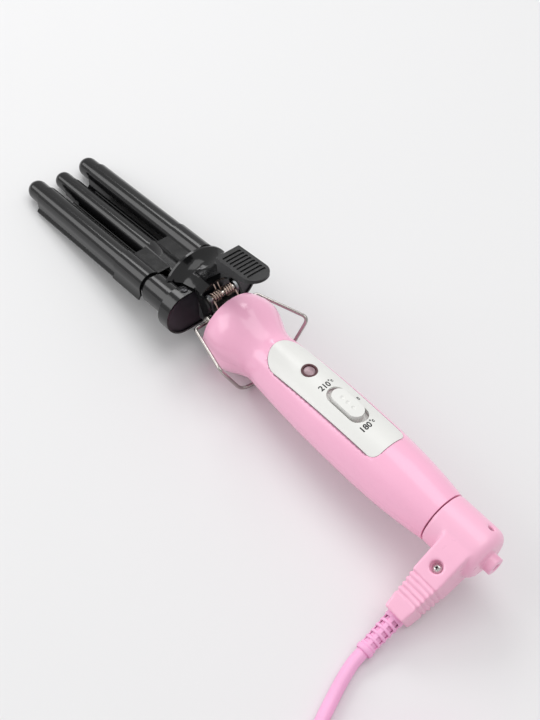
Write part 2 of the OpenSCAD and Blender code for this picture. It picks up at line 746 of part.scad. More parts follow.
// ---- cord, on the table -------------------------------------------------------------------------
relief_at = on_table(from_arm(arm_l - 2.6, 0.4));
relief_dir = [1.4, -19.5, 0] / norm([1.4, -19.5, 0]);
relief_fall = asin((relief_at[2] - relief_r1 - 0.2) / relief_l);
relief_end = relief_at + relief_l * [relief_dir[0] * cos(relief_fall), relief_dir[1] * cos(relief_fall), -sin(relief_fall)];
module strain_relief() {
    color([0.93, 0.55, 0.8]) difference() {
        rod(relief_at, relief_end, relief_r0, relief_r1);
        arm() translate([arm_l - 20 + fit, -20, -20]) cube([20, 40, 40]);
    }
}
// Route of the cord's middle, from the strain relief to the coil, chosen by hand
cord_z = cord_r + 0.1;
coil_at = [222, -90];
coil_in = 24.6;
coil_out = 42;
coil_h = 17.4;
coil_z = 0.9;
turn_r = coil_out - cord_r;
function on_coil(angle, r, z) = [coil_at[0] + r * cos(angle), coil_at[1] + r * sin(angle), z];
cord_route = [relief_end, relief_end + [0.4, -4.5, -0.5], [150.8, -61, cord_z], [153, -68, cord_z], [156, -76, cord_z],
    [159.2, -84, cord_z], [164, -93.9, cord_z], [172, -103.7, cord_z], [181.4, -113.2, cord_z],
    on_coil(225, turn_r + 5.8, cord_z), on_coil(240, turn_r + 5, cord_z), on_coil(255, turn_r + 2.9, cord_z),
    on_coil(270, turn_r + 0.8, cord_z)];
cord_tail = [for (p = [[9, -36.5, 9], [16, -39.5, 5], [24, -39.5, cord_z], [35, -34, cord_z], [44, -30.9, cord_z],
    [52, -29.5, cord_z]]) [coil_at[0] + p[0], coil_at[1] + p[1], p[2]]];
plug_at = coil_at + [52, -29.5];
sides = 10;
function ring(p, dir, r) = let (a = atan2(dir[1], dir[0]), side = [-sin(a), cos(a), 0],
    up = cross(dir / norm(dir), side)) [for (k = [0:sides - 1]) p + r * (cos(360 * k / sides) * side + sin(360 * k / sides) * up)];
function heading(pts, i) = let (n = len(pts) - 1) pts[min(i + 1, n)] - pts[max(i - 1, 0)];
// Tube round a route; the first ring stands square to the direction given as start
module sweep(pts, r, start) {
    n = len(pts);
    rings = [for (i = [0:n - 1]) each ring(pts[i], i == 0 ? start : heading(pts, i), r)];
    walls = [for (i = [0:n - 2], k = [0:sides - 1]) [i * sides + k, i * sides + (k + 1) % sides,
        (i + 1) * sides + (k + 1) % sides, (i + 1) * sides + k]];
    ends = [[for (k = [0:sides - 1]) sides - 1 - k], [for (k = [0:sides - 1]) (n - 1) * sides + k]];
    polyhedron(rings, concat(walls, ends), convexity = 6);
}
module cord_tube() {
    color([0.93, 0.55, 0.8]) {
        sweep(cord_route, cord_r, relief_end - relief_at);
        sweep(cord_tail, cord_r, cord_tail[1] - cord_tail[0]);
    }
}
module cord_coil() {
    color([0.93, 0.55, 0.8]) translate([coil_at[0], coil_at[1], coil_z]) rotate_extrude($fn = 72) {
        translate([coil_in, cord_r]) square([coil_out - coil_in, coil_h - 2 * cord_r]);
        translate([coil_in + cord_r, 0]) square([coil_out - coil_in - 2 * cord_r, coil_h]);
        for (x = [coil_in + cord_r, coil_out - cord_r], z = [cord_r, coil_h - cord_r])
            translate([x, z]) circle(cord_r);
    }
}
// Strap round the bundle; its lower run lies under the coil, just above the table
module cord_tie() {
    strap_w = 6;
    strap_t = 0.7;
    gap = 0.1;
    inner_w = coil_out - coil_in + 0.6;
    color([0.2, 0.2, 0.2]) translate([coil_at[0] + (coil_in + coil_out) / 2, coil_at[1] - strap_w / 2, coil_z - gap])
        difference() {
            translate([-inner_w / 2 - strap_t, 0, -strap_t])
                cube([inner_w + 2 * strap_t, strap_w, coil_h + 2 * gap + 2 * strap_t]);
            translate([-inner_w / 2, -1, 0]) cube([inner_w, strap_w + 2, coil_h + 2 * gap]);
        }
}
plug_l = 34;
plug_h = 14;
pin_gap = 19;
module plug_body() {
    color([0.93, 0.55, 0.8]) translate([plug_at[0], plug_at[1], plug_h / 2]) intersection() {
        along_y(-18, 18) polygon([[0, -4], [10, -plug_h / 2], [plug_l, -plug_h / 2], [plug_l, plug_h / 2],
            [10, plug_h / 2], [0, 0]]);
        translate([0, 0, -20]) linear_extrude(40) polygon([[0, -5], [12, -9], [plug_l - 12, -13.5], [plug_l, -17.5],
            [plug_l, 17.5], [plug_l - 12, 13.5], [12, 9], [0, 5]]);
    }
}
module plug_pins() {
    color("silver") for (s = [-1, 1]) translate([plug_at[0] + plug_l + fit, plug_at[1] + s * pin_gap / 2, plug_h / 2]) {
        rod_x(0, 17, 2);
        translate([17, 0, 0]) sphere(2);
    }
}

handle_top();
handle_bottom();
handle_screws();
control_panel();
lamp_bezel();
lamp_lens();
lamp_body();
switch_body();
circuit_board();
contact_disc();
supply_leads();
base_bracket();
bracket_screw();
head_band();
head_plate();
head_screws();
ferrules();
left_barrel();
right_barrel();
barrel_heaters();
lower_trough();
pivot_rivets();
spring_pin();
lever_springs();
yoke();
left_shell();
right_shell();
middle_barrel();
middle_cover();
middle_heater();
thumb_press();
press_rivets();
wire_stand();
switch_knob();
swivel_neck();
housing_top();
housing_bottom();
housing_screw();
inner_cord();
strain_relief();
cord_tube();
cord_coil();
cord_tie();
plug_body();
plug_pins();
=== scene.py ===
import json
import math

import bmesh
import bpy
import numpy as np
from bpy.props import FloatProperty, FloatVectorProperty, IntProperty, PointerProperty
from mathutils import Matrix, Vector


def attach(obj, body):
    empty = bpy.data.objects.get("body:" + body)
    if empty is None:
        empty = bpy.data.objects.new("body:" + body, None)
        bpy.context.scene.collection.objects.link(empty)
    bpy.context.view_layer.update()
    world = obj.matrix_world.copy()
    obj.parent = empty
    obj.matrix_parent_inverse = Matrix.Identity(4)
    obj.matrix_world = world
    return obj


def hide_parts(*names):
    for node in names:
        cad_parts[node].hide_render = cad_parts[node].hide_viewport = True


bl_info = {
    "name": "Hair waver looks",
    "version": (1, 0, 0),
    "blender": (4, 5, 0),
    "location": "3D View > Sidebar > Waver",
    "description": "Finishes and fine pieces for a triple-barrel hair waver",
    "category": "Object",
}

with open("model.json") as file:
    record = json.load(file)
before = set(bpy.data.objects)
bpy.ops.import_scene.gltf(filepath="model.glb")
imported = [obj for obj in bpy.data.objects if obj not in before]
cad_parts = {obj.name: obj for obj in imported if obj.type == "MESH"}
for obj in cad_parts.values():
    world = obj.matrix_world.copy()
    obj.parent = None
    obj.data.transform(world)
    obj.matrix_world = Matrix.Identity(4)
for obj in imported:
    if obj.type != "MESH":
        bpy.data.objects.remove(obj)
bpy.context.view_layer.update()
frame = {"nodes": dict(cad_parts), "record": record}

# ---- places and sizes in mm, repeated from the part's source -------------------------------------
MM = 0.001
DROOP = math.radians(5.8)
TILT = math.radians(-2.153071)
PLACE = Vector((-28.3624, 7.342, 19.9158))
JAW_AT = Vector((-0.4, 0, 4.1))
PIVOT = Vector((14.0, 0.0, -1.0))
WALL = 2.4
WAIST_X, WAIST_R = 47, 14.0
GRIP_X, GRIP_R = 105, 16.5
END_X, END_R = 160, 12.8
LAMP_X = 73
SWITCH_X = 98.3
SPRING_AT = Vector((11, 3.9, 9))
LEG_Y, ELBOW_Y = 9.3, 19.5
STAND_ARM = Vector((43.2, 27.6, 7.1))
FOOT_X, FOOT_HALF = 42, 12
ARM_X = 175.8
ARM_DROP = math.radians(25.5)
RELIEF_OUT, RELIEF_UP = 41.4, 0.4
RELIEF_DIR = Vector((1.4, -19.5, 0))
RELIEF_L = 23.2
RELIEF_END_R = 3.6
RELIEF_LIFT = 0.2
COIL = Vector((222.0, -90.0, 0.0))
COIL_R = 42
COIL_BASE = 0.9

# frames of the handle, the jaws and the housing's arm, from mm to the scene's metres
MILLI = Matrix.Scale(MM, 4)
IRON = MILLI @ Matrix.Translation(PLACE) @ Matrix.Rotation(TILT, 4, "Y")
JAWS = IRON @ Matrix.Translation(JAW_AT) @ Matrix.Rotation(-DROOP, 4, "Y")
ARM = (IRON @ Matrix.Translation((ARM_X, 0, 0)) @ Matrix.Rotation(ARM_DROP, 4, "X")
       @ Matrix.Rotation(-math.pi / 2, 4, "Z"))

# ---- the stage -----------------------------------------------------------------------------------
# the point in metres that the lights face
AIM_OF_LIGHTS = Vector((0.02, 0, 0.02))
# the camera's place in mm and its directions, in the jaws' frame, and its lens
EYE = Vector((311.3, -230.6, 347.9))
EYE_FORWARD = Vector((-0.5278, 0.4600, -0.7141))
EYE_UP = Vector((-0.5383, 0.4692, 0.7001))
EYE_RIGHT = Vector((0.6570, 0.7539, 0.0))
LENS = 52.1

# ---- sizes in mm that only the fine pieces have --------------------------------------------------
SPRING_R, SPRING_PITCH = 2.4, 1.34
# gaps under the cord and between its turns, and how far out it comes down beside the coil
TABLE_GAP = 0.1
TURN_GAP = 0.02
OVER_R = 46.2


def ease(t):
    """A smooth step: 0 up to t = 0, 1 from t = 1, and level at both."""
    t = min(1, max(0, t))
    return 3 * t * t - 2 * t ** 3


def handle_r(x):
    """Radius of the handle at x, from its waist to its end."""
    if x < GRIP_X:
        return GRIP_R - (GRIP_R - WAIST_R) * ((GRIP_X - x) / (GRIP_X - WAIST_X)) ** 2
    return GRIP_R - (GRIP_R - END_R) * ((x - GRIP_X) / (END_X - GRIP_X)) ** 2.6


def turn(n):
    """n angles, evenly round a full turn."""
    return [2 * math.pi * k / n for k in range(n)]


# ---- sizes and colours a user may change ---------------------------------------------------------
def thickness(name, words, value):
    return FloatProperty(name=name, description=words, default=value, unit="LENGTH", subtype="DISTANCE")


def colour(name, words, value):
    return FloatVectorProperty(name=name, description=words, default=value, subtype="COLOR", size=3,
                               min=0, max=1)


class WaverSizes(bpy.types.PropertyGroup):
    cord: thickness("Cord thickness", "Outside diameter of the mains cord", 0.0058)
    wire: thickness("Stand wire", "Diameter of the stand's wire", 0.0018)
    spring_wire: thickness("Spring wire", "Diameter of the springs' wire", 0.00078)
    spring_turns: IntProperty(name="Spring turns", description="Turns in each lever spring",
                              default=4, min=3, max=8)
    relief_rows: IntProperty(name="Relief windows", description="Rows of windows in the strain relief",
                             default=5, min=2, max=8)


class WaverColours(bpy.types.PropertyGroup):
    handle: colour("Handle", "Glossy pink of the handle's halves", (0.97, 0.49, 0.675))
    housing: colour("Cord housing", "Glossy pink of the cord housing", (0.95, 0.5, 0.67))
    panel: colour("Panel", "Off-white of the inlaid panel", (0.79, 0.79, 0.765))
    cord: colour("Cord", "Lilac pink of the cord and strain relief", (0.92, 0.45, 0.71))
    enamel: colour("Enamel", "Black of the barrels and the jaws", (0.006, 0.006, 0.0065))
    lamp: colour("Lamp window", "Maroon of the lamp window's ring", (0.085, 0.020, 0.026))
    ink: colour("Dial marks", "Ink of the switch's numbers", (0.012, 0.012, 0.014))
    floor: colour("Floor", "Pale floor of the stage", (0.785, 0.785, 0.79))


# ---- finishes ------------------------------------------------------------------------------------
def finish(name, base, rough, metal=0.0, coat=0.0, patch=40.0, tone=0.06, grain=900.0, bump=0.05,
           stretch=(1, 1, 1), clear=0.0, spots=0.0, shine=0.5):
    """A procedural surface on Object coordinates: soft patches of tone, uneven gloss and a fine grain.

    patch and grain are the scales of the tone and the grain, rough is the range of the roughness, and
    spots is how far tiny light specks show.
    """
    mat = bpy.data.materials.get(name)
    if mat:
        return mat
    mat = bpy.data.materials.new(name)
    mat.use_nodes = True
    nodes, links = mat.node_tree.nodes, mat.node_tree.links
    nodes.clear()

    def add(kind, **values):
        n = nodes.new("ShaderNode" + kind)
        for k, v in values.items():
            n.inputs[k.replace("_", " ")].default_value = v
        return n

    def noise(scale, detail):
        n = add("TexNoise", Scale=scale, Detail=detail, Roughness=0.6)
        links.new(axis.outputs["Vector"], n.inputs["Vector"])
        return n.outputs["Fac"]

    skin = add("BsdfPrincipled", Metallic=metal, Coat_Weight=coat, Coat_Roughness=0.08,
               Specular_IOR_Level=shine, Transmission_Weight=clear)
    links.new(skin.outputs["BSDF"], add("OutputMaterial").inputs["Surface"])
    axis = add("Mapping", Scale=stretch)
    links.new(add("TexCoord").outputs["Object"], axis.inputs["Vector"])

    tones = add("ValToRGB")
    dark, light = tones.color_ramp.elements
    dark.position, light.position = 0.3, 0.72
    dark.color = tuple(c * (1 - tone) for c in base) + (1,)
    light.color = tuple(min(1, c * (1 + tone * 0.6) + tone * 0.01) for c in base) + (1,)
    links.new(noise(patch, 4), tones.inputs["Fac"])
    look = tones.outputs["Color"]
    if spots:
        dust = add("TexVoronoi", Scale=grain * 0.5, Randomness=1.0)
        links.new(axis.outputs["Vector"], dust.inputs["Vector"])
        pick = add("MapRange", From_Min=0.05, From_Max=0.12, To_Min=spots, To_Max=0.0)
        links.new(dust.outputs["Distance"], pick.inputs["Value"])
        # a colour mix has its factor in socket 0, its two colours in 6 and 7, and its result in output 2
        blend = nodes.new("ShaderNodeMix")
        blend.data_type = "RGBA"
        blend.inputs[7].default_value = (0.5, 0.5, 0.5, 1)
        links.new(pick.outputs["Result"], blend.inputs[0])
        links.new(look, blend.inputs[6])
        look = blend.outputs[2]
    links.new(look, skin.inputs["Base Color"])

    gloss = add("MapRange", From_Min=0.3, From_Max=0.7, To_Min=rough[0], To_Max=rough[1])
    links.new(noise(patch * 6, 6), gloss.inputs["Value"])
    links.new(gloss.outputs["Result"], skin.inputs["Roughness"])
    if bump:
        relief = add("Bump", Strength=bump, Distance=0.0002)
        links.new(noise(grain, 3), relief.inputs["Height"])
        links.new(relief.outputs["Normal"], skin.inputs["Normal"])
    return mat


def finishes():
    """Every finish of the waver by its short name."""
    c = bpy.context.scene.waver_colours
    return {
        "handle": finish("Glossy pink", c.handle, (0.22, 0.25), coat=0.25, patch=28, tone=0.02, bump=0),
        "housing": finish("Moulded pink", c.housing, (0.27, 0.31), coat=0.15, patch=36, tone=0.02, bump=0),
        "panel": finish("Satin white", c.panel, (0.3, 0.4), coat=0.05, patch=50, tone=0.015, bump=0.02),
        "knob": finish("Switch white", c.panel, (0.26, 0.36), coat=0.1, patch=70, tone=0.03, bump=0.02),
        "enamel": finish("Black enamel", c.enamel, (0.1, 0.16), patch=30, tone=0.2, grain=500, bump=0.015,
                         spots=0.015),
        "ceramic": finish("Ceramic black", c.enamel, (0.08, 0.14), patch=22, tone=0.2, grain=420,
                          bump=0.015, spots=0.015),
        "head": finish("Head enamel", (0.006, 0.006, 0.0065), (0.1, 0.17), patch=34, tone=0.2, grain=600,
                       bump=0.02, spots=0.015),
        "plate": finish("Satin dark plate", (0.016, 0.013, 0.018), (0.34, 0.46), patch=80, tone=0.2,
                        grain=1300, bump=0.06, stretch=(1, 0.25, 1)),
        "press": finish("Grained black", (0.006, 0.006, 0.007), (0.3, 0.4), patch=60, tone=0.2, grain=1500,
                        bump=0.04, shine=0.35),
        "steel": finish("Bright steel", (0.66, 0.65, 0.63), (0.2, 0.34), metal=1.0, patch=160, tone=0.12,
                        grain=1800, bump=0.05),
        "zinc": finish("Zinc plate", (0.3, 0.31, 0.32), (0.34, 0.5), metal=1.0, patch=120, tone=0.2,
                       grain=1100, bump=0.08),
        "nickel": finish("Bright nickel", (0.74, 0.71, 0.66), (0.14, 0.26), metal=1.0, patch=150, tone=0.1,
                         grain=1600, bump=0.04),
        "copper": finish("Coppered wire", (0.66, 0.5, 0.43), (0.22, 0.36), metal=1.0, patch=200, tone=0.2,
                         grain=1800, bump=0.06),
        "dark steel": finish("Blackened steel", (0.09, 0.09, 0.095), (0.25, 0.38), metal=1.0, patch=150,
                             tone=0.2, grain=1500, bump=0.05),
        "chrome": finish("Drawn chrome", (0.46, 0.43, 0.41), (0.16, 0.28), metal=1.0, patch=90, tone=0.18,
                         grain=1400, bump=0.05),
        "bezel": finish("Maroon ring", c.lamp, (0.3, 0.4), patch=200, tone=0.15, bump=0.02),
        "lens": finish("Rose lens", (0.4, 0.27, 0.3), (0.22, 0.34), patch=500, tone=0.35, grain=2600,
                       bump=0.25),
        "lamp": finish("Neon lamp", (0.8, 0.4, 0.22), (0.2, 0.3), patch=200, tone=0.1, clear=0.3),
        "cord": finish("Lilac rubber", c.cord, (0.34, 0.46), patch=60, tone=0.04, grain=1300, bump=0.05),
        "dark": finish("Black moulding", (0.03, 0.03, 0.032), (0.4, 0.55), patch=80, tone=0.2, grain=1200,
                       bump=0.1),
        "board": finish("Green board", (0.03, 0.14, 0.05), (0.3, 0.45), coat=0.3, patch=150, tone=0.25),
        "bakelite": finish("Brown bakelite", (0.12, 0.06, 0.03), (0.35, 0.5), patch=150, tone=0.3,
                           grain=1200),
        "lead": finish("Red lead", (0.6, 0.04, 0.04), (0.4, 0.5), patch=150, tone=0.1),
        "grey": finish("Grey moulding", (0.55, 0.55, 0.57), (0.35, 0.5), patch=90, tone=0.06, grain=1200,
                       bump=0.08),
        "alloy": finish("Heater alloy", (0.6, 0.6, 0.62), (0.35, 0.5), metal=1.0, patch=90, tone=0.15,
                        grain=900, bump=0.1),
        "ink": finish("Dial ink", c.ink, (0.4, 0.5), patch=300, tone=0.15, grain=2500, bump=0.03,
                      shine=0.3),
    }


SLOT_FINISH = {
    "handle_pink": "handle", "housing_pink": "housing", "panel_white": "panel", "knob_white": "knob",
    "bezel_maroon": "bezel", "lens_rose": "lens", "lamp_amber": "lamp", "jaw_black": "enamel",
    "barrel_black": "ceramic", "head_black": "head", "plate_dark": "plate", "press_black": "press",
    "screw_steel": "steel", "bracket_zinc": "zinc", "rivet_nickel": "nickel", "spring_copper": "copper",
    "stand_chrome": "chrome", "heater_core": "alloy", "neck_grey": "grey", "switch_black": "dark",
    "board_green": "board", "disc_brown": "bakelite", "lead_red": "lead", "cord_lilac": "cord",
    "tie_black": "dark", "plug_lilac": "cord", "pin_nickel": "nickel",
}
NODE_SLOT = {s["node"]: s["material_slot"] for s in frame["record"]["subparts"]}
NODE_BODY = {n: b for b, names in frame["record"]["behaviour"]["bodies"].items() for n in names}


# ---- making and placing pieces -------------------------------------------------------------------
def linked(name, data):
    """A new object for data, in the scene."""
    obj = bpy.data.objects.new(name, data)
    bpy.context.scene.collection.objects.link(obj)
    return obj


def opened(mesh):
    """A bmesh that starts as a copy of mesh."""
    bm = bmesh.new()
    bm.from_mesh(mesh)
    return bm


def closed(name, bm):
    """A new mesh made from bm, which is freed."""
    mesh = bpy.data.meshes.new(name)
    bm.to_mesh(mesh)
    bm.free()
    return mesh


def shade_smooth(mesh):
    for f in mesh.polygons:
        f.use_smooth = True


def baked(obj):
    """The evaluated mesh of obj, with obj itself taken out of the scene."""
    bpy.context.view_layer.update()
    deps = bpy.context.evaluated_depsgraph_get()
    mesh = bpy.data.meshes.new_from_object(obj.evaluated_get(deps), depsgraph=deps)
    bpy.data.objects.remove(obj, do_unlink=True)
    if not len(mesh.vertices):
        raise RuntimeError("a piece came out empty")
    return mesh


def piece(name, mesh, material, body, slot, *replaced):
    """Puts an object at the origin that rides on a body and stands for the CAD nodes named."""
    obj = linked(name, mesh)
    mesh.materials.clear()
    mesh.materials.append(material)
    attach(obj, body)
    if replaced:
        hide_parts(*replaced)


def stands_for(node, mesh, ending):
    """Puts a piece that takes its body, and its finish by way of the node's slot, from the one CAD node that
    it stands for.
    """
    slot = NODE_SLOT[node]
    piece(node + ending, mesh, finishes()[SLOT_FINISH[slot]], NODE_BODY[node], slot, node)


def from_bmesh(name, bm, matrix, sharp):
    """A mesh from bm, moved by matrix and smooth but for edges sharper than an angle in degrees."""
    bmesh.ops.remove_doubles(bm, verts=bm.verts, dist=1e-5)
    bmesh.ops.recalc_face_normals(bm, faces=bm.faces)
    mesh = closed(name, bm)
    mesh.transform(matrix)
    shade_smooth(mesh)
    mesh.set_sharp_from_angle(angle=math.radians(sharp))
    return mesh


def smooth_path(points, step):
    """Points about a step apart on a smooth curve through the given ones (centripetal Catmull-Rom)."""
    pts = [Vector(p) for p in points]
    pts = [2 * pts[0] - pts[1]] + pts + [2 * pts[-1] - pts[-2]]
    out = []
    for i in range(1, len(pts) - 2):
        p0, p1, p2, p3 = pts[i - 1:i + 3]
        t = [0.0]
        for a, b in ((p0, p1), (p1, p2), (p2, p3)):
            t.append(t[-1] + max((b - a).length, 1e-6) ** 0.5)
        n = max(1, round((p2 - p1).length / step))
        for k in range(n):
            u = t[1] + (t[2] - t[1]) * k / n
            a1 = p0.lerp(p1, (u - t[0]) / (t[1] - t[0]))
            a2 = p1.lerp(p2, (u - t[1]) / (t[2] - t[1]))
            a3 = p2.lerp(p3, (u - t[2]) / (t[3] - t[2]))
            b1 = a1.lerp(a2, (u - t[0]) / (t[2] - t[0]))
            b2 = a2.lerp(a3, (u - t[1]) / (t[3] - t[1]))
            out.append(b1.lerp(b2, (u - t[1]) / (t[2] - t[1])))
    out.append(pts[-2])
    return out


def curve(name, points, radius):
    """A round curve object through points in metres."""
    data = bpy.data.curves.new(name, "CURVE")
    data.dimensions = "3D"
    data.bevel_depth = radius
    data.bevel_resolution = 4
    data.use_fill_caps = True
    spline = data.splines.new("POLY")
    spline.points.add(len(points) - 1)
    for s, p in zip(spline.points, points):
        s.co = (p[0], p[1], p[2], 1)
    spline.use_smooth = True
    return linked(name, data)


# ---- rounding and shading of CAD pieces ----------------------------------------------------------
def round_edges(obj, width, angle):
    """Rounds the edges of obj that are sharper than an angle in degrees."""
    bevel = obj.modifiers.new("Rounded edges", "BEVEL")
    bevel.width = width
    bevel.segments = 2
    bevel.limit_method = "ANGLE"
    bevel.angle_limit = math.radians(angle)


def even_shading(obj):
    weigh = obj.modifiers.new("Even shading", "WEIGHTED_NORMAL")
    weigh.keep_sharp = True


def merged(node, flat=0):
    """A loose copy of a CAD node: doubled points merged, and faces within flat degrees of each other."""
    bm = opened(frame["nodes"][node].data)
    bmesh.ops.remove_doubles(bm, verts=bm.verts, dist=2e-6)
    if flat:
        bmesh.ops.dissolve_limit(bm, angle_limit=math.radians(flat), verts=bm.verts, edges=bm.edges)
    mesh = closed(node + "_merged", bm)
    shade_smooth(mesh)
    return mesh


def softened(node, width):
    """Puts a copy of a CAD node whose sharp edges are rounded by width, in mm."""
    tmp = linked(node + "_tmp", merged(node, 0.5))
    round_edges(tmp, width * MM, 36)
    even_shading(tmp)
    stands_for(node, baked(tmp), "_moulded")


def shaded(node, angle):
    """Puts a copy of a CAD node whose edges gentler than an angle in degrees are shaded smooth."""
    mesh = merged(node, 0.4)
    mesh.set_sharp_from_angle(angle=math.radians(angle))
    tmp = linked(node + "_tmp", mesh)
    even_shading(tmp)
    stands_for(node, baked(tmp), "_pressed")


def even_and_round(mesh, voxel, rounds, kept=()):
    """A moulded copy of a closed mesh: fine and even, then smoothed for a number of rounds.

    Each slab kept is (axis, low, high, rounds) in mm in the arm's frame, and takes only that many rounds.
    """
    tmp = linked("even_tmp", mesh)
    even = tmp.modifiers.new("Even mesh", "REMESH")
    even.mode = "VOXEL"
    even.voxel_size = voxel * MM
    even.use_smooth_shade = True
    mesh = baked(tmp)
    points = np.empty(len(mesh.vertices) * 3)
    mesh.vertices.foreach_get("co", points)
    points = points.reshape(-1, 3)
    edges = np.empty(len(mesh.edges) * 2, dtype=int)
    mesh.edges.foreach_get("vertices", edges)
    a, b = edges.reshape(-1, 2).T
    count = (np.bincount(a, minlength=len(points)) + np.bincount(b, minlength=len(points)))[:, None]
    back = np.array(ARM.inverted())
    for step in range(rounds):
        near = np.zeros_like(points)
        for k in range(3):
            near[:, k] = np.bincount(a, points[b, k], len(points)) + np.bincount(b, points[a, k], len(points))
        # each point goes six tenths of the way to the middle of its neighbours
        move = 0.6 * (near / count - points)
        for axis, low, high, allowed in kept:
            if step >= allowed:
                along = points @ back[axis, :3] + back[axis, 3]
                move[(along > low) & (along < high)] = 0
        points += move
    mesh.vertices.foreach_set("co", points.ravel())
    mesh.update()
    return mesh


def halves():
    """Puts the cord housing's two halves, rounded as one form and parted again at their seam."""
    sides = (("housing_top", 1), ("housing_bottom", -1))
    whole = bmesh.new()
    back = ARM.inverted()
    for node, _ in sides:
        # the small gap at the seam is closed, and the faces that meet there are taken out
        bm = opened(frame["nodes"][node].data)
        bmesh.ops.transform(bm, matrix=back, verts=bm.verts)
        for v in bm.verts:
            if abs(v.co.z) < 0.08:
                v.co.z = 0
        flat = [f for f in bm.faces if all(v.co.z == 0 for v in f.verts)]
        bmesh.ops.delete(bm, geom=flat, context="FACES")
        bmesh.ops.transform(bm, matrix=ARM, verts=bm.verts)
        whole.from_mesh(closed("half", bm))
    bmesh.ops.remove_doubles(whole, verts=whole.verts, dist=5e-6)
    # the grooves across the arm and the hanging eye's boss are rounded less, so that they stay crisp
    grooves, boss = (0, 23.5, 38.5, 4), (1, 11.3, 99, 5)
    mesh = even_and_round(closed("housing", whole), voxel=0.4, rounds=14, kept=(grooves, boss))
    up = (ARM.to_3x3() @ Vector((0, 0, 1))).normalized()
    for node, side in sides:
        bm = opened(mesh)
        cut = bmesh.ops.bisect_plane(bm, geom=bm.verts[:] + bm.edges[:] + bm.faces[:], dist=1e-8,
                                     plane_co=ARM @ Vector((0, 0, 0)), plane_no=up,
                                     clear_inner=side > 0, clear_outer=side < 0)
        rim = [e for e in cut["geom_cut"] if isinstance(e, bmesh.types.BMEdge)]
        bmesh.ops.triangle_fill(bm, edges=rim, use_beauty=True, normal=up * -side)
        half = closed(node, bm)
        shade_smooth(half)
        half.set_sharp_from_angle(angle=math.radians(60))
        stands_for(node, half, "_moulded")


# ---- geometry node trees -------------------------------------------------------------------------
class Tree:
    """A small writer for Geometry Nodes groups."""

    def __init__(self, name):
        self.group = bpy.data.node_groups.new(name, "GeometryNodeTree")
        for way in ("INPUT", "OUTPUT"):
            self.group.interface.new_socket("Geometry", in_out=way, socket_type="NodeSocketGeometry")
        self.source = self.group.nodes.new("NodeGroupInput")
        self.out = self.group.nodes.new("NodeGroupOutput")
        self.names = {}

    def size(self, name, value, kind="NodeSocketFloat"):
        """Gives the group an input, and returns the socket that its value comes from."""
        s = self.group.interface.new_socket(name, in_out="INPUT", socket_type=kind)
        s.default_value = value
        self.names[name] = s.identifier
        return self.source.outputs[name]

    def add(self, kind, _set=None, **inputs):
        """Adds a node with its properties and inputs set; an input _2 is the one at place 2."""
        n = self.group.nodes.new(kind)
        for k, v in (_set or {}).items():
            setattr(n, k, v)
        for k, v in inputs.items():
            by_place = k[0] == "_" and k[1:].isdigit()
            sock = n.inputs[int(k[1:])] if by_place else n.inputs[k.replace("_", " ")]
            if isinstance(v, bpy.types.NodeSocket):
                self.group.links.new(v, sock)
            else:
                sock.default_value = v
        return n

    def maths(self, op, a, b):
        return self.add("ShaderNodeMath", {"operation": op}, _0=a, _1=b).outputs[0]

    def vector(self, **parts):
        return self.add("ShaderNodeCombineXYZ", **parts).outputs[0]

    def finish(self, geometry, material):
        real = self.add("GeometryNodeRealizeInstances", Geometry=geometry)
        done = self.add("GeometryNodeSetMaterial", Geometry=real.outputs[0], Material=material)
        self.group.links.new(done.outputs[0], self.out.inputs[0])


def grown(name, tree, mesh, **sizes):
    """The mesh that a node tree makes from a base mesh with the sizes given."""
    obj = linked(name, mesh)
    mod = obj.modifiers.new("Grow", "NODES")
    mod.node_group = tree.group
    for k, v in sizes.items():
        mod[tree.names[k.replace("_", " ")]] = v
    return baked(obj)


def spring_tree(material):
    """A coil of round wire that climbs along Z from each point."""
    t = Tree("Coil of wire")
    turns, radius = t.size("Turns", 5, "NodeSocketInt"), t.size("Radius", 2.5)
    wire, pitch = t.size("Wire", 0.9), t.size("Pitch", 1.05)
    coil = t.add("GeometryNodeCurveSpiral", Resolution=40, Rotations=turns, Start_Radius=radius,
                 End_Radius=radius, Height=t.maths("MULTIPLY", turns, pitch))
    ring = t.add("GeometryNodeCurvePrimitiveCircle", Resolution=10, Radius=t.maths("MULTIPLY", wire, 0.5))
    tube = t.add("GeometryNodeCurveToMesh", Curve=coil.outputs[0], Profile_Curve=ring.outputs[0],
                 Fill_Caps=True)
    smooth = t.add("GeometryNodeSetShadeSmooth", Geometry=tube.outputs[0])
    put = t.add("GeometryNodeInstanceOnPoints", Points=t.source.outputs["Geometry"],
                Instance=smooth.outputs[0])
    t.finish(put.outputs[0], material)
    return t


